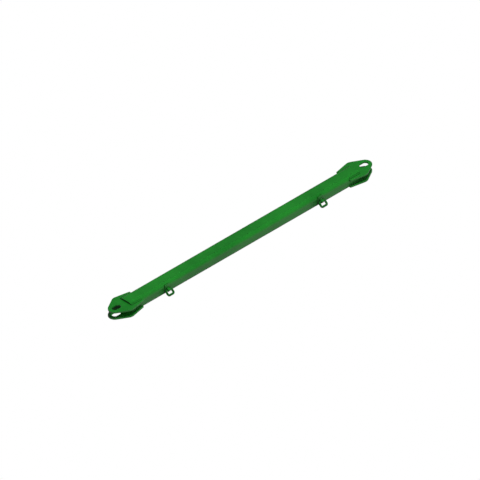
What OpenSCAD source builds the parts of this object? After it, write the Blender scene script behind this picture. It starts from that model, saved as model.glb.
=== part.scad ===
// Spreader beam: a rectangular hollow section with a pair of slotted lug plates let into each
// end, a strip that closes the mouth between them, and two load rings that swing in saddle clips.
// Frame: the beam runs along X, the lug plates lie flat in XY, the load rings are on the -Y side.
// The origin is the middle of the beam, half-way between the two sling slots.

/* [Beam tube] */
// Length of the tube, end face to end face
tube_length = 1940; // [1200:10:4000]
// Width of the tube, along Y
tube_width = 100; // [80:1:160]
// Height of the tube, along Z
tube_height = 80; // [66:1:140]
// Wall thickness of the tube
tube_wall = 10; // [5:0.5:12]
// Outside corner radius of the tube
tube_corner = 25; // [16:1:30]

/* [Lug plates] */
// Thickness of each lug plate
lug_thickness = 10; // [6:0.5:14]
// Gap between each lug plate and the roof or floor of the tube, filled by a seam at the mouth
lug_roof_gap = 2; // [1:0.5:4]
// How far each lug plate runs inside the tube
lug_engagement = 92; // [60:1:140]
// How far the inner end of a lug plate stands out of each side of the tube
lug_side_overhang = 11; // [8:1:16]
// How far the shoulders of a lug plate stand out of each side of the tube
shoulder_overhang = 32; // [24:1:50]
// Radius of the lug shoulder
shoulder_radius = 50; // [30:1:60]
// Distance from the shoulder centre to the tip centre
shoulder_to_tip = 72; // [60:1:90]
// Radius of the rounded tip of a lug plate
tip_radius = 42.5; // [36:0.5:50]

/* [Sling slots] */
// Distance from the tube end to the slot centre
slot_reach = 80; // [60:1:120]
// Length of each sling slot, end to end
slot_length = 63; // [52:1:74]
// Width of each sling slot
slot_width = 37; // [20:1:46]
// How far the tip of the lug plate is centred beyond the slot centre
tip_offset = 12; // [4:1:24]

/* [Load rings] */
// Distance from the tube ends to the load rings, before the shift
ring_inset = 320; // [180:10:560]
// How far both load rings are shifted towards the left end
ring_shift = 20; // [0:1:40]
// Diameter of the ring's round bar
ring_bar = 14; // [9:0.5:16]
// Clear width inside the ring
ring_inside_width = 32; // [26:1:60]
// Clear height inside the ring
ring_inside_height = 19; // [15:1:50]
// Bend radius of the ring's corners, to the middle of the bar
ring_bend = 9.5; // [8:0.5:12]
// Depth of the ring's hinge line below the top of the tube
hinge_drop = 40; // [28:1:50]
// Angle of the ring away from hanging straight down
ring_angle = 48; // [0:1:90]

/* [Ring pads and clips] */
// Length of the ring pad along the tube
pad_length = 42; // [30:1:90]
// Depth of the ring pad's top edge below the top of the tube
pad_top_drop = 5; // [4:0.5:8]
// How far the ring pad reaches below the welds of the saddle clip
pad_border = 1; // [0.5:0.5:8]
// Thickness of the ring pad
pad_thickness = 6; // [5:0.5:12]
// Length of the saddle clip along the ring's bar
clip_length = 18; // [12:1:22]
// Thickness of the saddle clip
clip_thickness = 4; // [3:0.5:4.5]
// Height of each flange of the saddle clip
clip_flange = 4; // [3:0.5:5]

/* [Fits] */
// Gap between a lug plate and its slot in the tube wall
lug_clearance = 0.2; // [0.1:0.1:0.5]
// Gap between the ring's bar and the saddle clip
ring_clearance = 0.5; // [0.3:0.1:1]
// Gap between an end strip and what surrounds it
strip_clearance = 0.3; // [0.1:0.1:0.5]

/* [Welds and end strips] */
// Leg length of the fillet welds on the lug plates
lug_weld = 6; // [3:0.5:8]
// Leg length of the fillet welds round the ring pads
pad_weld = 3; // [2:0.5:5]
// Depth of the weld behind a ring pad below the pad's top edge
pad_weld_recess = 7; // [3:0.5:10]
// Leg length of the fillet welds on the saddle clips
clip_weld = 3; // [2:0.5:4]
// Thickness of the strips that close the tube's ends
strip_thickness = 6; // [4:0.5:10]
// How far the end strips are set back from the tube's ends
strip_setback = 2; // [0:0.5:10]

/* [Hidden] */

$fn = 96;
margin = 1;
// Arc length in mm, times 180 / PI, that one straight step of a wrapped outline covers
arc_fineness = 180;
left = -1;
right = 1;
upper = 1;
lower = -1;

paint = "forestgreen";
weld_paint = "seagreen";

half_length = tube_length / 2;
half_width = tube_width / 2;
half_height = tube_height / 2;

// Lug plates, for the right-hand end
lug_outer_face = half_height - tube_wall - lug_roof_gap;
lug_inner_face = lug_outer_face - lug_thickness;
lug_inner_end = half_length - lug_engagement;
lug_end_half_width = half_width + lug_side_overhang;
shoulder_half_width = half_width + shoulder_overhang;
slot_centre = half_length + slot_reach;
tip_centre = slot_centre + tip_offset;
shoulder_centre = tip_centre - shoulder_to_tip;

// Load rings, pads and clips; depth is measured out from the beam's centre plane, towards -Y
ring_centre = half_length - ring_inset;
pad_face = half_width + pad_thickness;
clip_inner_radius = ring_bar / 2 + ring_clearance;
clip_outer_radius = clip_inner_radius + clip_thickness;
hinge_depth = pad_face + clip_inner_radius;
ring_half_width = (ring_inside_width + ring_bar) / 2;
ring_drop = ring_inside_height + ring_bar;
hinge_height = half_height - hinge_drop;
clip_half_height = clip_outer_radius + clip_flange;
pad_top = half_height - pad_top_drop;
pad_bottom = hinge_height - clip_half_height - clip_weld - pad_border;

// Half-width of the tube's outside at a height above or below its middle
function tube_side(height) =
    let (into_corner = max(0, abs(height) - (half_height - tube_corner)))
    half_width - tube_corner + sqrt(max(0, tube_corner ^ 2 - into_corner ^ 2));

// Direction in which the straight line that wraps disc a and then disc b faces outwards.
// A disc is [x, y, radius]; the discs are given anticlockwise.
function facing(a, b) =
    atan2(b.y - a.y, b.x - a.x) - acos((a[2] - b[2]) / norm([b.x - a.x, b.y - a.y]));

// Arc that the outline follows round disc b, on its way from disc a to disc c
function arc_round(a, b, c) =
    let (from = facing(a, b))
    let (turn = (facing(b, c) - from + 720) % 360)
    let (steps = ceil(b[2] * turn / arc_fineness))
    [
        for (i = [0:steps])
            let (angle = from + turn * i / max(steps, 1))
            [b.x, b.y] + b[2] * [cos(angle), sin(angle)]
    ];

// Outline wrapped tightly round a list of discs; a disc of radius 0 is a sharp corner
module wrapped_outline(discs) {
    count = len(discs);
    polygon([
        for (i = [0:count - 1])
            each arc_round(discs[(i + count - 1) % count], discs[i], discs[(i + 1) % count])
    ]);
}

module rounded_rectangle(width, height, radius) {
    square([width - 2 * radius, height], center = true);
    square([width, height - 2 * radius], center = true);
    for (x = [-1, 1], y = [-1, 1])
        translate([x * (width / 2 - radius), y * (height / 2 - radius)])
            circle(radius);
}

// Extrudes a YZ profile along X, between two stations
module along_x(from, to) {
    translate([from, 0, 0])
        rotate([90, 0, 90])
            linear_extrude(to - from)
                children();
}

// Turns what is drawn for the right-hand end to the end asked for
module at_end(end) {
    mirror([end == left ? 1 : 0, 0, 0])
        children();
}

// Turns what is drawn for the upper level to the level asked for
module at_level(level) {
    mirror([0, 0, level == lower ? 1 : 0])
        children();
}

// Turns what is drawn for the +Y side to both sides
module on_both_sides() {
    for (side = [0, 1])
        mirror([0, side, 0])
            children();
}

module tube_outline() {
    rounded_rectangle(tube_width, tube_height, tube_corner);
}

module tube_hollow(gap = 0) {
    rounded_rectangle(
        tube_width - 2 * tube_wall - 2 * gap,
        tube_height - 2 * tube_wall - 2 * gap,
        tube_corner - tube_wall - gap
    );
}

// Tube

module main_tube() {
    color(paint)
        difference() {
            along_x(-half_length, half_length)
                difference() {
                    tube_outline();
                    tube_hollow();
                }
            for (end = [left, right], level = [upper, lower])
                at_end(end)
                    at_level(level)
                        lug_slot_in_tube();
        }
}

module lug_slot_in_tube() {
    slot_depth = lug_engagement + lug_clearance + margin;
    slot_height = lug_thickness + 2 * lug_clearance;
    translate([lug_inner_end - lug_clearance, -half_width - margin, lug_inner_face - lug_clearance])
        cube([slot_depth, tube_width + 2 * margin, slot_height]);
}

// Lug plates

module sling_slot() {
    slot_radius = slot_width / 2;
    end_spread = slot_length / 2 - slot_radius;
    translate([slot_centre, 0]) {
        square([2 * end_spread, slot_width], center = true);
        for (x = [-end_spread, end_spread])
            translate([x, 0])
                circle(slot_radius);
    }
}

module lug_outline() {
    shoulder_y = shoulder_half_width - shoulder_radius;
    wrapped_outline([
        [lug_inner_end, -lug_end_half_width, 0],
        [shoulder_centre, -shoulder_y, shoulder_radius],
        [tip_centre, 0, tip_radius],
        [shoulder_centre, shoulder_y, shoulder_radius],
        [lug_inner_end, lug_end_half_width, 0]
    ]);
}

module lug(end, level) {
    color(paint)
        at_end(end)
            at_level(level)
                translate([0, 0, lug_inner_face])
                    linear_extrude(lug_thickness)
                        difference() {
                            lug_outline();
                            sling_slot();
                        }
}

// Fillet welds between the lug plates and the outside of the tube

module outer_lug_fillet() {
    weld_top = lug_outer_face + lug_weld;
    buried = tube_side(weld_top) - margin;
    difference() {
        polygon([
            [buried, lug_outer_face],
            [tube_side(lug_outer_face) + lug_weld, lug_outer_face],
            [tube_side(weld_top), weld_top],
            [buried, weld_top]
        ]);
        tube_outline();
    }
}

module inner_lug_fillet() {
    weld_bottom = lug_inner_face - lug_weld;
    buried = tube_side(lug_inner_face) - margin;
    difference() {
        polygon([
            [buried, lug_inner_face],
            [tube_side(lug_inner_face) + lug_weld, lug_inner_face],
            [tube_side(weld_bottom), weld_bottom],
            [buried, weld_bottom]
        ]);
        tube_outline();
    }
}

// Seam that fills the tube's mouth between the lug plate and the roof of the tube
module mouth_seam() {
    intersection() {
        tube_hollow();
        translate([-half_width, lug_outer_face])
            square([tube_width, half_height - lug_outer_face]);
    }
}

module lug_welds(end, level) {
    weld_start = lug_inner_end + lug_weld;
    color(weld_paint)
        at_end(end)
            at_level(level) {
                on_both_sides() {
                    along_x(weld_start, half_length)
                        outer_lug_fillet();
                    along_x(weld_start, half_length)
                        inner_lug_fillet();
                }
                along_x(half_length - lug_weld, half_length)
                    mouth_seam();
            }
}

// Strip that closes the tube's mouth between the two lug plates
module end_strip(end) {
    strip_end = half_length - strip_setback;
    strip_height = 2 * (lug_inner_face - strip_clearance);
    color(paint)
        at_end(end)
            along_x(strip_end - strip_thickness, strip_end)
                intersection() {
                    tube_hollow(strip_clearance);
                    square([tube_width, strip_height], center = true);
                }
}

// Load rings. Each is drawn at the middle of the beam and carried to its station.

module at_ring_station(end) {
    translate([end * ring_centre - ring_shift, 0, 0])
        children();
}

// Extrudes a profile of depth (out towards -Y) and height, centred on the ring station
module ring_profile(length) {
    mirror([0, 1, 0])
        along_x(-length / 2, length / 2)
            children();
}

module ring_pad(end) {
    color(paint)
        at_ring_station(end)
            ring_profile(pad_length)
                translate([half_width, pad_bottom])
                    square([pad_thickness, pad_top - pad_bottom]);
}

// Weld that fills the wedge between the back of the pad and the tube's upper corner
module pad_top_weld() {
    wedge_bottom = half_height - tube_corner + pad_weld;
    wedge_top = pad_top - pad_weld_recess;
    difference() {
        translate([0, wedge_bottom])
            square([half_width, wedge_top - wedge_bottom]);
        tube_outline();
    }
}

// Fillet under the lower edge of the pad
module pad_bottom_weld() {
    weld_bottom = pad_bottom - pad_weld;
    buried = tube_side(weld_bottom) - margin;
    difference() {
        polygon([
            [buried, pad_bottom],
            [half_width + pad_weld, pad_bottom],
            [tube_side(weld_bottom), weld_bottom],
            [buried, weld_bottom]
        ]);
        tube_outline();
    }
}

module pad_welds(end) {
    color(weld_paint)
        at_ring_station(end) {
            ring_profile(pad_length)
                pad_top_weld();
            ring_profile(pad_length)
                pad_bottom_weld();
            for (side = [0, 1])
                mirror([side, 0, 0])
                    pad_side_weld();
        }
}

// Fillet down one side of the pad, where the tube is flat
module pad_side_weld() {
    flat_top = half_height - tube_corner;
    weld_bottom = max(-flat_top, pad_bottom + pad_weld);
    translate([pad_length / 2, -half_width, weld_bottom])
        linear_extrude(flat_top - weld_bottom)
            polygon([[0, 0], [pad_weld, 0], [0, -pad_weld]]);
}

module ring_clip(end) {
    color(paint)
        at_ring_station(end)
            ring_profile(clip_length)
                difference() {
                    union() {
                        translate([pad_face, hinge_height - clip_half_height])
                            square([clip_thickness, 2 * clip_half_height]);
                        arch(clip_outer_radius);
                    }
                    arch(clip_inner_radius);
                }
}

// Half-round arch over the hinge line, with straight sides back to the pad
module arch(radius) {
    intersection() {
        translate([hinge_depth, hinge_height])
            circle(radius);
        translate([hinge_depth, hinge_height - radius])
            square([radius, 2 * radius]);
    }
    translate([pad_face, hinge_height - radius])
        square([clip_inner_radius, 2 * radius]);
}

module clip_welds(end) {
    color(weld_paint)
        at_ring_station(end)
            ring_profile(clip_length)
                for (side = [-1, 1])
                    translate([pad_face, hinge_height + side * clip_half_height])
                        polygon([[0, 0], [clip_weld, 0], [0, side * clip_weld]]);
}

module bar(length) {
    cylinder(h = length, d = ring_bar);
}

// Quarter bend of the ring's bar, from pointing along +X to pointing along +Z
module bend() {
    rotate([90, 0, 0])
        rotate_extrude(angle = 90)
            translate([ring_bend, 0])
                circle(d = ring_bar);
}

// The ring hanging straight down from the origin, with its top bar along X
module hanging_ring() {
    straight_half_width = ring_half_width - ring_bend;
    straight_drop = ring_drop - 2 * ring_bend;
    for (side = [0, 1])
        mirror([side, 0, 0]) {
            translate([ring_half_width, 0, -ring_bend - straight_drop])
                bar(straight_drop);
            for (height = [0, -ring_drop])
                translate([0, 0, height])
                    rotate([0, 90, 0])
                        bar(straight_half_width);
            translate([straight_half_width, 0, -ring_bend])
                bend();
            translate([straight_half_width, 0, -ring_drop + ring_bend])
                mirror([0, 0, 1])
                    bend();
        }
}

module ring(end) {
    color(paint)
        translate([end * ring_centre - ring_shift, -hinge_depth, hinge_height])
            rotate([-ring_angle, 0, 0])
                hanging_ring();
}

main_tube();
lug(left, upper);  // left_upper_lug
lug(left, lower);  // left_lower_lug
lug(right, upper);  // right_upper_lug
lug(right, lower);  // right_lower_lug
lug_welds(left, upper);  // left_upper_lug_welds
lug_welds(left, lower);  // left_lower_lug_welds
lug_welds(right, upper);  // right_upper_lug_welds
lug_welds(right, lower);  // right_lower_lug_welds
end_strip(left);  // left_end_strip
end_strip(right);  // right_end_strip
ring_pad(left);  // left_ring_pad
ring_pad(right);  // right_ring_pad
pad_welds(left);  // left_pad_welds
pad_welds(right);  // right_pad_welds
ring_clip(left);  // left_ring_clip
ring_clip(right);  // right_ring_clip
clip_welds(left);  // left_clip_welds
clip_welds(right);  // right_clip_welds
ring(left);  // left_ring
ring(right);  // right_ring
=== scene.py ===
import math
import random

import bmesh
import bpy
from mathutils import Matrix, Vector


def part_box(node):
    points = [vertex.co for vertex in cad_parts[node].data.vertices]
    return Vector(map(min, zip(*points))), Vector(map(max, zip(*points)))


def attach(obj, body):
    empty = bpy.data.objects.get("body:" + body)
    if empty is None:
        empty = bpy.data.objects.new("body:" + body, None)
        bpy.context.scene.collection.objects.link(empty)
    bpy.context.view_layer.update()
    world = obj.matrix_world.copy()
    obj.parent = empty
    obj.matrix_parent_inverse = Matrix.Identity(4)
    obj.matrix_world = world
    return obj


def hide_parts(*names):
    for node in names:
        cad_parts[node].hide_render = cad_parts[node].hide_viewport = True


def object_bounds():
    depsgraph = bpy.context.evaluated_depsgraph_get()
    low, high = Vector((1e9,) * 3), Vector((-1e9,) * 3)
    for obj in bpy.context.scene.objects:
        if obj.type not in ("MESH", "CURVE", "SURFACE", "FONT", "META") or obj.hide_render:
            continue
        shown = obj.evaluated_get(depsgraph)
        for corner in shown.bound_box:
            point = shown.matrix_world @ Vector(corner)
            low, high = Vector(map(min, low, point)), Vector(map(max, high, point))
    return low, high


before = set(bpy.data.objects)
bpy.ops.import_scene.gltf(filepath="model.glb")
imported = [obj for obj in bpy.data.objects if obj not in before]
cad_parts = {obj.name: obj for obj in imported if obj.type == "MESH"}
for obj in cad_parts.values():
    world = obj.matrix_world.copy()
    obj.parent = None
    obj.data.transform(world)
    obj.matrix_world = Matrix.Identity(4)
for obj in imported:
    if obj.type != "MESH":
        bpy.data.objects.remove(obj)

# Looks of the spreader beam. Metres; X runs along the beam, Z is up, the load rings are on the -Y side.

CAD_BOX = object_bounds()
MM = 0.001

# Camera: a true isometric view with no perspective, its aim in pixels from the beam's middle
VIEW_SPAN = 2.88
VIEW_DISTANCE = 6.0
VIEW_REACH = 30.0
IMAGE_SIZE = 480
VIEW_AIM_RIGHT = 0.0
VIEW_AIM_UP = -0.28

# Floor and surroundings
FLOOR_DROP = 0.5 * MM
FLOOR_SIZE = 14.0
FLOOR_GREY = (0.34, 0.34, 0.34)
SKY_TINT = (0.93, 0.97, 1.0)
WHITE = (1.0, 1.0, 1.0)

# Paint, as linear colours
PAINT_GREEN = (0.0075, 0.150, 0.0115)
PAINT_FADED = (0.0130, 0.185, 0.0180)
PAINT_DEEP = (0.0045, 0.115, 0.0085)
# A shaded copy of the green, painted over the welds and rings as shade
SHADED_GREEN = (0.0020, 0.055, 0.0045)
# Grime and painted shade: the colour that corners and creases are darkened towards
GRIME_AND_SHADE = (0.0060, 0.030, 0.0060)
BARE_STEEL = (0.23, 0.235, 0.23)
PRIMER = (0.085, 0.155, 0.090)

# How fine each pattern in the paint is: a higher number is finer
BLOTCH_SCALE = 4.0
MOTTLE_SCALE = 60.0
SPECK_SCALE = 900.0
SCUFF_SCALE = 3.0
SCUFF_STRETCH = (5.0, 60.0, 60.0)
PEEL_SCALE = 420.0
SAG_SCALE = 18.0
CUT_LINE_SCALE = 600.0
CUT_LINE_STRETCH = (1.0, 1.0, 0.05)
RUB_SCALE = 1.0
RUB_STRETCH = (70.0, 160.0, 160.0)

# How strongly each pattern shows, from 0 to 1
MOTTLE_FADE = 0.45
SCUFF_FADE = 0.35
EDGE_FADE = 0.35
# How far corners and creases are darkened, partly grime and partly painted shade
CREVICE_DARKENING = 0.8
GRIME_ROUGHNESS = 0.25
STEEL_SHINE = 0.8

# Relief of the paint: the bump's strength and depth, and what share of the depth each pattern takes
BUMP_STRENGTH = 0.55
BUMP_DEPTH = 1.0 * MM
PEEL_RELIEF = 0.10
CHIP_RELIEF = 0.35
CUT_LINE_RELIEF = 0.35

# Rounding of the CAD pieces' sharp edges
EDGE_WIDTH = 0.8 * MM
EDGE_SEGMENTS = 2
EDGE_ANGLE = 35
MERGE_DISTANCE = 0.01 * MM

# Weld beads: faces across, how full the face is as a share of its width, and how deep the root is buried
BEAD_SIDES = 6
BEAD_SWELL = 0.17
BEAD_ROOT_DEPTH = 0.4 * MM

# Ripples: spacing as a share of the bead's width, sections in each, depth as a share of the bead's size,
# and how far they trail at the middle of the bead, as a share of the spacing
RIPPLE_PITCH = 0.38
RIPPLE_PITCH_MIN = 1.6 * MM
RIPPLE_STEPS = 6
BEAD_STEPS_MIN = 8
RIPPLE_DEPTH = 0.10
RIPPLE_LAG = 0.8

# Size of a bead at its ends, over what length it fills out, and how much its width wavers on the way
BEAD_END_SIZE = 0.72
BEAD_END_LENGTH = 2.5 * MM
WAVER_DEPTH = 0.05
WAVER_LENGTH = 9 * MM

# The seam in the tube's mouth: how deep its root lies, and how far it stops from the tube's inner sides
SEAM_DEPTH = 3 * MM
SEAM_SIDE_GAP = 9 * MM

# Sizes of the tube that no box shows, the same as tube_corner and tube_wall in part.scad
TUBE_CORNER = 25 * MM
TUBE_WALL = 10 * MM

# Sizes from the boxes of the CAD nodes
TUBE_HALF_LENGTH, TUBE_HALF_WIDTH, TUBE_HALF_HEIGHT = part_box("main_tube")[1]
LUG_INNER_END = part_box("right_upper_lug")[0].x
LUG_INNER_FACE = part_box("right_upper_lug")[0].z
LUG_OUTER_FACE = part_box("right_upper_lug")[1].z
LUG_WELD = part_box("right_upper_lug_welds")[0].x - LUG_INNER_END


# Shader trees

class Tree:
    """The node tree of a material or world, with short calls for adding and joining nodes."""

    def __init__(self, owner):
        owner.use_nodes = True
        self.tree = owner.node_tree
        self.tree.nodes.clear()

    def add(self, kind, inputs=None, **settings):
        node = self.tree.nodes.new(kind)
        for key, value in settings.items():
            setattr(node, key, value)
        for key, value in (inputs or {}).items():
            self.feed(node.inputs[key], value)
        return node

    def feed(self, socket, value):
        if isinstance(value, bpy.types.NodeSocket):
            self.tree.links.new(value, socket)
        elif isinstance(value, tuple) and len(value) == 3 and socket.type == "RGBA":
            socket.default_value = (*value, 1.0)
        else:
            socket.default_value = value

    def math(self, operation, a, b=0.0, clamp=False):
        node = self.add("ShaderNodeMath", {0: a, 1: b}, operation=operation, use_clamp=clamp)
        return node.outputs[0]

    def times(self, a, b):
        return self.math("MULTIPLY", a, b)

    def mix(self, factor, a, b):
        node = self.add("ShaderNodeMix", data_type="RGBA")
        self.feed(node.inputs[0], factor)
        self.feed(node.inputs[6], a)
        self.feed(node.inputs[7], b)
        return node.outputs[2]

    def noise(self, place, scale, detail, roughness=0.55):
        inputs = {"Vector": place, "Scale": scale, "Detail": detail, "Roughness": roughness}
        return self.add("ShaderNodeTexNoise", inputs).outputs["Fac"]

    def band(self, value, low, high, to_low=0.0, to_high=1.0):
        """value from low to high, as to_low to to_high, and flat beyond."""
        inputs = {"Value": value, 1: low, 2: high, 3: to_low, 4: to_high}
        node = self.add("ShaderNodeMapRange", inputs, interpolation_type="SMOOTHSTEP")
        return node.outputs[0]

    def stretched(self, place, scale):
        """place with each axis multiplied, so that a noise on it is drawn out."""
        node = self.add("ShaderNodeMapping", {"Vector": place})
        node.inputs["Scale"].default_value = scale
        return node.outputs[0]

    def white_to_camera(self, lit, white_kind):
        """A shader that is plain white where the camera sees it, and lit for all other rays."""
        seen = self.add("ShaderNodeLightPath").outputs["Is Camera Ray"]
        white = self.add(white_kind, {"Color": WHITE, "Strength": 1.0})
        return self.add("ShaderNodeMixShader", {0: seen, 1: lit.outputs[0], 2: white.outputs[0]})

    def end_with(self, kind, shader):
        out = self.add(kind)
        self.feed(out.inputs["Surface"], shader.outputs[0])


def edge_mask(tree, radius):
    """0 on flat faces and 1 on outside or inside edges, from how a rounded normal departs."""
    rounded = tree.add("ShaderNodeBevel", {"Radius": radius}, samples=6).outputs[0]
    flat = tree.add("ShaderNodeNewGeometry").outputs["Normal"]
    dot = tree.add("ShaderNodeVectorMath", {0: rounded, 1: flat}, operation="DOT_PRODUCT")
    return tree.band(dot.outputs["Value"], 0.995, 0.90)


def crevice_mask(tree, distance):
    """1 in corners where dust and shade collect, 0 on open faces."""
    openness = tree.add("ShaderNodeAmbientOcclusion", {"Distance": distance}, samples=8)
    return tree.band(openness.outputs["AO"], 0.95, 0.35)


def flame_cut(tree, place):
    """Fine upright drag lines, only on the cut edges of a flat plate."""
    normal = tree.add("ShaderNodeTexCoord").outputs["Normal"]
    upright = tree.add("ShaderNodeSeparateXYZ", {0: normal}).outputs["Z"]
    on_edge = tree.band(tree.math("ABSOLUTE", upright), 0.4, 0.1)
    lines = tree.noise(tree.stretched(place, CUT_LINE_STRETCH), CUT_LINE_SCALE, 1.0)
    return tree.times(tree.times(lines, on_edge), CUT_LINE_RELIEF)


def rub_marks(tree, place, mottle):
    """Patches of paint rubbed thin, all over the piece."""
    patch = tree.noise(tree.stretched(place, RUB_STRETCH), RUB_SCALE, 6.0, 0.7)
    return tree.times(tree.band(patch, 0.60, 0.70), tree.band(mottle, 0.4, 0.6, 0.15, 0.45))


def painted_steel(
    name,
    edge_radius=2.2 * MM,
    wear=0.5,
    crevice_reach=22 * MM,
    painted_shade=0.0,
    cut_edges=False,
    rubbed_bar=False,
):
    """Satin green coat on steel: orange peel, blotches, grime and painted shade in corners, worn edges,
    and an even painted shade where asked.
    """
    material = bpy.data.materials.new(name)
    tree = Tree(material)
    place = tree.add("ShaderNodeTexCoord").outputs["Object"]

    blotch = tree.noise(place, BLOTCH_SCALE, 4.0)
    mottle = tree.noise(place, MOTTLE_SCALE, 5.0, 0.65)
    speck = tree.noise(place, SPECK_SCALE, 2.0)
    scuffs = tree.noise(tree.stretched(place, SCUFF_STRETCH), SCUFF_SCALE, 8.0, 0.7)

    colour = tree.mix(tree.band(blotch, 0.35, 0.65), PAINT_DEEP, PAINT_GREEN)
    colour = tree.mix(tree.times(tree.band(mottle, 0.5, 0.75), MOTTLE_FADE), colour, PAINT_FADED)
    colour = tree.mix(tree.times(tree.band(scuffs, 0.60, 0.72), SCUFF_FADE), colour, PAINT_FADED)
    # Painted shade: the whole piece darkened evenly towards the shaded copy of the green
    colour = tree.mix(painted_shade, colour, SHADED_GREEN)

    # Painted shade, partly grime: corners and creases darkened from an ambient occlusion mask
    dirt_and_shade = tree.times(crevice_mask(tree, crevice_reach), tree.band(mottle, 0.25, 0.7, 0.55, 1.0))
    colour = tree.mix(tree.times(dirt_and_shade, CREVICE_DARKENING), colour, GRIME_AND_SHADE)

    edges = edge_mask(tree, edge_radius)
    chipped = tree.times(edges, tree.band(mottle, 0.52, 0.62))
    rubbed = tree.times(edges, EDGE_FADE)
    colour = tree.mix(tree.times(rubbed, wear), colour, PAINT_FADED)
    colour = tree.mix(tree.times(chipped, wear), colour, PRIMER)
    bare = tree.times(tree.times(chipped, tree.band(speck, 0.52, 0.6)), wear)
    if rubbed_bar:
        bare = tree.math("MAXIMUM", bare, rub_marks(tree, place, mottle))
    colour = tree.mix(bare, colour, BARE_STEEL)

    roughness = tree.band(mottle, 0.3, 0.7, 0.36, 0.50)
    roughness = tree.math("ADD", roughness, tree.times(dirt_and_shade, GRIME_ROUGHNESS), clamp=True)

    peel = tree.noise(place, PEEL_SCALE, 2.0)
    sag = tree.noise(place, SAG_SCALE, 2.0)
    height = tree.math("ADD", tree.times(peel, PEEL_RELIEF), sag)
    height = tree.math("SUBTRACT", height, tree.times(chipped, CHIP_RELIEF))
    if cut_edges:
        height = tree.math("ADD", height, flame_cut(tree, place))
    relief = {"Strength": BUMP_STRENGTH, "Distance": BUMP_DEPTH, "Height": height}
    bump = tree.add("ShaderNodeBump", relief)

    shader = tree.add("ShaderNodeBsdfPrincipled", {
        "Base Color": colour,
        "Roughness": roughness,
        "Metallic": tree.times(bare, STEEL_SHINE),
        "Normal": bump.outputs[0],
    })
    shader.inputs["IOR"].default_value = 1.5
    shader.inputs["Coat Weight"].default_value = 0.12
    shader.inputs["Coat Roughness"].default_value = 0.25
    tree.end_with("ShaderNodeOutputMaterial", shader)
    return material


def give(obj, material):
    """Puts one material in every slot of a piece."""
    if not obj.data.materials:
        obj.data.materials.append(material)
    for index in range(len(obj.data.materials)):
        obj.data.materials[index] = material


def smooth_faces_group():
    """A modifier's node group that shades every face smooth."""
    group = bpy.data.node_groups.new("smooth_faces", "GeometryNodeTree")
    group.interface.new_socket("Geometry", in_out="INPUT", socket_type="NodeSocketGeometry")
    group.interface.new_socket("Geometry", in_out="OUTPUT", socket_type="NodeSocketGeometry")
    source = group.nodes.new("NodeGroupInput")
    shade = group.nodes.new("GeometryNodeSetShadeSmooth")
    result = group.nodes.new("NodeGroupOutput")
    group.links.new(source.outputs[0], shade.inputs[0])
    group.links.new(shade.outputs[0], result.inputs[0])
    return group


def ease_edges(obj):
    """Rounds a CAD piece's sharp edges a little, so that they catch the light."""
    weld = obj.modifiers.new("join", "WELD")
    weld.merge_threshold = MERGE_DISTANCE
    bevel = obj.modifiers.new("eased_edges", "BEVEL")
    bevel.width = EDGE_WIDTH
    bevel.segments = EDGE_SEGMENTS
    bevel.limit_method = "ANGLE"
    bevel.angle_limit = math.radians(EDGE_ANGLE)
    smooth = obj.modifiers.new("smooth_faces", "NODES")
    smooth.node_group = SMOOTH_FACES
    even = obj.modifiers.new("even_normals", "WEIGHTED_NORMAL")
    even.keep_sharp = False


# Camera, lights and floor

def make_camera():
    data = bpy.data.cameras.new("camera")
    data.type = "ORTHO"
    data.ortho_scale = VIEW_SPAN
    data.clip_end = VIEW_REACH
    camera = bpy.data.objects.new("camera", data)
    bpy.context.scene.collection.objects.link(camera)
    toward = Vector((-1.0, -1.0, 1.0)).normalized()
    camera.rotation_euler = toward.to_track_quat("Z", "Y").to_euler()
    turn = camera.rotation_euler.to_matrix()
    pixel = VIEW_SPAN / IMAGE_SIZE
    aim = turn @ Vector((VIEW_AIM_RIGHT * pixel, VIEW_AIM_UP * pixel, 0.0))
    camera.location = aim + toward * VIEW_DISTANCE
    bpy.context.scene.camera = camera


def make_sun(name, direction, strength, spread):
    """A sun, hidden from glossy rays to keep highlights off the tube's corners."""
    data = bpy.data.lights.new(name, "SUN")
    data.energy = strength
    data.angle = math.radians(spread)
    sun = bpy.data.objects.new(name, data)
    bpy.context.scene.collection.objects.link(sun)
    sun.rotation_euler = Vector(direction).to_track_quat("Z", "Y").to_euler()
    sun.visible_glossy = False


def make_world(strength):
    """Dim, even light all round, and plain white to the camera where the floor ends."""
    world = bpy.data.worlds.new("studio")
    tree = Tree(world)
    light = tree.add("ShaderNodeBackground", {"Color": SKY_TINT, "Strength": strength})
    tree.end_with("ShaderNodeOutputWorld", tree.white_to_camera(light, "ShaderNodeBackground"))
    bpy.context.scene.world = world


def make_floor(height):
    """A plain floor, white to the camera as in the photo, that throws a little light back up."""
    mesh = bpy.data.meshes.new("floor")
    half = FLOOR_SIZE / 2
    corners = [(-half, -half, height), (half, -half, height), (half, half, height), (-half, half, height)]
    mesh.from_pydata(corners, [], [(0, 1, 2, 3)])
    floor = bpy.data.objects.new("floor", mesh)
    bpy.context.scene.collection.objects.link(floor)
    material = bpy.data.materials.new("pale_floor")
    tree = Tree(material)
    lit = tree.add("ShaderNodeBsdfDiffuse", {"Color": FLOOR_GREY})
    tree.end_with("ShaderNodeOutputMaterial", tree.white_to_camera(lit, "ShaderNodeEmission"))
    give(floor, material)


# Weld beads

def tube_side(height):
    """Half-width of the tube's outside at a height above or below its middle."""
    into_corner = max(0.0, abs(height) - (TUBE_HALF_HEIGHT - TUBE_CORNER))
    return TUBE_HALF_WIDTH - TUBE_CORNER + math.sqrt(max(0.0, TUBE_CORNER ** 2 - into_corner ** 2))


def bead_section(root, toe_a, toe_b):
    """Points from toe_a over a full, rounded face to toe_b, and the buried root last."""
    middle = (toe_a + toe_b) / 2
    out = (middle - root).normalized()
    rise = (toe_b - toe_a).length * BEAD_SWELL
    points = []
    for step in range(BEAD_SIDES + 1):
        along = step / BEAD_SIDES
        lift = rise * math.sin(math.pi * along)
        points.append(toe_a.lerp(toe_b, along) + out * lift)
    points.append(root - out * BEAD_ROOT_DEPTH)
    return points


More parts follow.
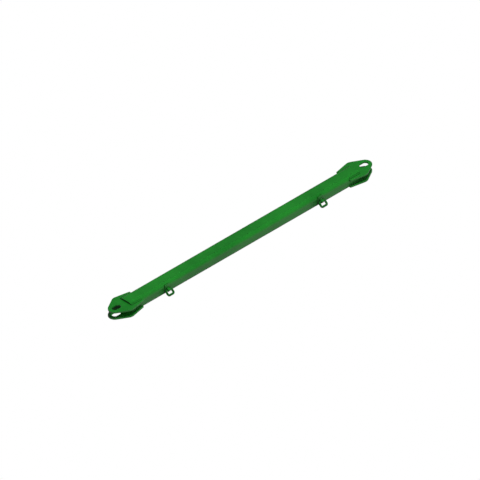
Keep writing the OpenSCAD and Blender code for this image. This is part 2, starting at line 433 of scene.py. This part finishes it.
def add_bead(mesh, start, end, root, toe_a, toe_b):
    """Adds one rippled bead to a mesh. The section's points are offsets square to the run."""
    run = end - start
    length = run.length
    pitch = max(RIPPLE_PITCH_MIN, (toe_a - toe_b).length * RIPPLE_PITCH)
    steps = max(BEAD_STEPS_MIN, int(length / (pitch / RIPPLE_STEPS)))
    wander = random.uniform(0.0, 6.0)
    rings = []
    for step in range(steps + 1):
        distance = length * step / steps
        near_end = max(0.0, min(distance, length - distance)) / BEAD_END_LENGTH
        taper = BEAD_END_SIZE + (1.0 - BEAD_END_SIZE) * math.sqrt(min(1.0, near_end))
        uneven = 1.0 + WAVER_DEPTH * math.sin(distance / WAVER_LENGTH + wander)
        section = bead_section(root, root.lerp(toe_a, taper * uneven), root.lerp(toe_b, taper))
        ring = []
        for index, point in enumerate(section):
            across = min(index, BEAD_SIDES) / BEAD_SIDES
            lag = math.sin(math.pi * across) * pitch * RIPPLE_LAG
            ripple = 1.0 + RIPPLE_DEPTH * math.cos(2 * math.pi * (distance + lag) / pitch)
            if 0 < index < BEAD_SIDES:
                point = root + (point - root) * ripple
            ring.append(mesh.verts.new(start + run * (step / steps) + point))
        rings.append(ring)
    count = len(rings[0])
    for before, after in zip(rings, rings[1:]):
        for index in range(count):
            follow = (index + 1) % count
            mesh.faces.new((before[index], before[follow], after[follow], after[index]))
    mesh.faces.new(list(reversed(rings[0])))
    mesh.faces.new(rings[-1])


def weld_piece(name, node, beads):
    """Makes one piece of weld beads and lets it stand for a CAD node."""
    mesh = bmesh.new()
    for bead in beads:
        add_bead(mesh, *bead)
    bmesh.ops.recalc_face_normals(mesh, faces=mesh.faces)
    data = bpy.data.meshes.new(name)
    mesh.to_mesh(data)
    mesh.free()
    for face in data.polygons:
        face.use_smooth = True
    piece = bpy.data.objects.new(name, data)
    bpy.context.scene.collection.objects.link(piece)
    give(piece, WELD_PAINT)
    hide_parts(node)
    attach(piece, "beam")


def lug_beads(end, level):
    """Beads outside and inside a lug plate on both sides of the tube, and the seam in the tube's mouth."""
    start = Vector((end * (LUG_INNER_END + LUG_WELD), 0, 0))
    finish = Vector((end * TUBE_HALF_LENGTH, 0, 0))
    high = LUG_OUTER_FACE + LUG_WELD
    low = LUG_INNER_FACE - LUG_WELD
    beads = []
    for side in (-1, 1):
        for face, tip in ((LUG_OUTER_FACE, high), (LUG_INNER_FACE, low)):
            root = Vector((0, side * tube_side(face), level * face))
            on_lug = root + Vector((0, side * LUG_WELD, 0))
            on_tube = Vector((0, side * tube_side(tip), level * tip))
            beads.append((start, finish, root, on_lug, on_tube))
    roof = TUBE_HALF_HEIGHT - TUBE_WALL
    across = TUBE_HALF_WIDTH - TUBE_WALL - SEAM_SIDE_GAP
    root = Vector((end * (TUBE_HALF_LENGTH - SEAM_DEPTH), 0, level * (LUG_OUTER_FACE + roof) / 2))
    on_lug = Vector((end * TUBE_HALF_LENGTH, 0, level * LUG_OUTER_FACE))
    on_roof = Vector((end * TUBE_HALF_LENGTH, 0, level * roof))
    beads.append((Vector((0, -across, 0)), Vector((0, across, 0)), root, on_lug, on_roof))
    return beads


def pad_beads(end_name):
    """Beads down both sides of a ring pad, under its bottom edge and behind its top edge."""
    pad_low, pad_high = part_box(f"{end_name}_ring_pad")
    welds_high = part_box(f"{end_name}_pad_welds")[1]
    leg = welds_high.x - pad_high.x
    flat = TUBE_HALF_HEIGHT - TUBE_CORNER
    left_end = Vector((pad_low.x, 0, 0))
    right_end = Vector((pad_high.x, 0, 0))
    beads = []
    for edge, side in ((pad_low.x, -1), (pad_high.x, 1)):
        root = Vector((edge, -TUBE_HALF_WIDTH, 0))
        on_tube = root + Vector((side * leg, 0, 0))
        on_pad = root + Vector((0, -leg, 0))
        beads.append((Vector((0, 0, -flat)), Vector((0, 0, flat)), root, on_tube, on_pad))
    low = pad_low.z - leg
    root = Vector((0, -tube_side(pad_low.z), pad_low.z))
    on_pad = Vector((0, -TUBE_HALF_WIDTH - leg, pad_low.z))
    on_tube = Vector((0, -tube_side(low), low))
    beads.append((left_end, right_end, root, on_pad, on_tube))
    high = welds_high.z
    behind = (flat + high) / 2
    root = Vector((0, -tube_side(behind), behind))
    on_pad = Vector((0, -TUBE_HALF_WIDTH, high))
    on_tube = Vector((0, -tube_side(high), high))
    beads.append((left_end, right_end, root, on_pad, on_tube))
    return beads


def clip_beads(end_name):
    """Beads over and under a saddle clip's flanges."""
    clip_low, clip_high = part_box(f"{end_name}_ring_clip")
    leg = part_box(f"{end_name}_clip_welds")[1].z - clip_high.z
    start = Vector((clip_low.x, 0, 0))
    finish = Vector((clip_high.x, 0, 0))
    beads = []
    for edge, side in ((clip_low.z, -1), (clip_high.z, 1)):
        root = Vector((0, clip_high.y, edge))
        on_pad = root + Vector((0, 0, side * leg))
        on_clip = root + Vector((0, -leg, 0))
        beads.append((start, finish, root, on_pad, on_clip))
    return beads


def make_welds():
    for end, end_name in ((-1, "left"), (1, "right")):
        for level, level_name in ((1, "upper"), (-1, "lower")):
            place = f"{end_name}_{level_name}_lug"
            weld_piece(f"{place}_beads", f"{place}_welds", lug_beads(end, level))
        weld_piece(f"{end_name}_pad_beads", f"{end_name}_pad_welds", pad_beads(end_name))
        weld_piece(f"{end_name}_clip_beads", f"{end_name}_clip_welds", clip_beads(end_name))


def finish_nodes():
    """Gives every CAD node that stays in sight its paint, and all but the rings their eased edges."""
    for node_name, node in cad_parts.items():
        if node_name.endswith("welds"):
            continue
        if node_name.endswith("_ring"):
            give(node, RING_PAINT)
            continue
        flat_plate = node_name.endswith(("lug", "pad"))
        give(node, PLATE_PAINT if flat_plate else BEAM_PAINT)
        ease_edges(node)


make_camera()
make_world(strength=0.14)
make_sun("key", direction=(0.10, -0.12, 1.0), strength=3.8, spread=16)
make_sun("fill", direction=(-0.22, -1.0, 0.50), strength=1.25, spread=40)
make_floor(CAD_BOX[0][2] - FLOOR_DROP)
bpy.context.scene.view_settings.view_transform = "Standard"

BEAM_PAINT = painted_steel("beam_paint")
PLATE_PAINT = painted_steel("plate_paint", cut_edges=True, wear=0.6)
# The welds and the ring carry painted shade, a darker copy of the green paint
WELD_PAINT = painted_steel("weld_paint", edge_radius=0.6 * MM, wear=0.3, crevice_reach=9 * MM, painted_shade=0.35)
RING_PAINT = painted_steel("ring_paint", edge_radius=1.5 * MM, painted_shade=0.65, rubbed_bar=True)

SMOOTH_FACES = smooth_faces_group()

random.seed(7)
make_welds()
finish_nodes()
